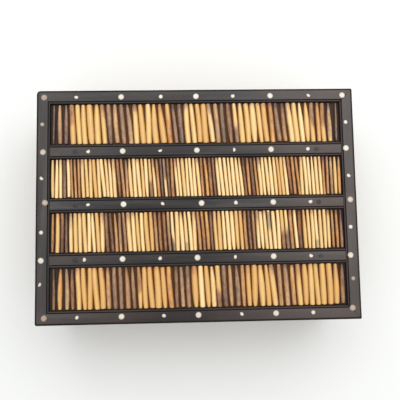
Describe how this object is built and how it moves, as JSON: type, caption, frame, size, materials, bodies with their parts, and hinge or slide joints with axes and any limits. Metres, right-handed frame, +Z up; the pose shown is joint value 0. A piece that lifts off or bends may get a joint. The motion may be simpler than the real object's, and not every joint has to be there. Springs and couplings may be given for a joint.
{
  "type": "quill box",
  "caption": "Rectangular hinged box faced with porcupine quills between bone-dotted ebony rails, with a brass lock under its lid.",
  "frame": {"origin": "middle of the underside, on the surface that the box stands on", "axes": "+X to the right along the long side, +Y from the front to the hinges, +Z up"},
  "size_m": [0.257, 0.187, 0.084],
  "materials": {
    "ebony": "satin, hand rubbed",
    "ebony_plug": "satin",
    "bone": "polished, yellowed",
    "quill": "natural gloss, light and dark quills",
    "carcass_wood": "waxed",
    "brass": "aged",
    "pin_steel": "dull"
  },
  "bodies": {
    "box": {"base_board": "carcass_wood", "wall_front": "carcass_wood", "wall_right": "carcass_wood", "wall_back": "carcass_wood", "wall_left": "carcass_wood", "plinth_front": "ebony", "plinth_right": "ebony", "plinth_back": "ebony", "plinth_left": "ebony", "upper_rail_front": "ebony", "upper_rail_right": "ebony", "upper_rail_back": "ebony", "upper_rail_left": "ebony", "corner_post_front_left": "ebony", "corner_post_front_right": "ebony", "corner_post_back_right": "ebony", "corner_post_back_left": "ebony", "stile_front": "ebony", "stile_back": "ebony", "quills_front": "quill", "quills_right": "quill", "quills_back": "quill", "quills_left": "quill", "box_dots_large": "bone", "box_dots_small": "bone", "box_leaf_left": "brass", "box_leaf_right": "brass", "hinge_pin_left": "pin_steel", "hinge_pin_right": "pin_steel", "box_hinge_screws": "brass", "lock_case": "brass", "lock_plate": "brass", "lock_screws": "brass", "escutcheon": "bone"},
    "lid": {"lid_board": "carcass_wood", "lid_rail_front": "ebony", "lid_rail_right": "ebony", "lid_rail_back": "ebony", "lid_rail_left": "ebony", "lid_bar_back": "ebony", "lid_bar_middle": "ebony", "lid_bar_front": "ebony", "lid_quills_row_1": "quill", "lid_quills_row_2": "quill", "lid_quills_row_3": "quill", "lid_quills_row_4": "quill", "lid_dots_large": "bone", "lid_dots_small": "bone", "lid_plugs": "ebony_plug", "lid_leaf_left": "brass", "lid_leaf_right": "brass", "lid_hinge_screws": "brass", "link_plate": "brass", "link_screws": "brass"},
    "lock_bolt": {"lock_bolt": "brass"}
  },
  "joints": [
    {"name": "lid_hinge", "type": "hinge", "parent": "box", "child": "lid", "pos_m": [0, 0.0903, 0.07305], "axis": [-1, 0, 0], "range_deg": [0, 100]},
    {"name": "bolt_slide", "type": "slide", "parent": "box", "child": "lock_bolt", "axis": [1, 0, 0], "range_m": [0, 0.004]}
  ]
}
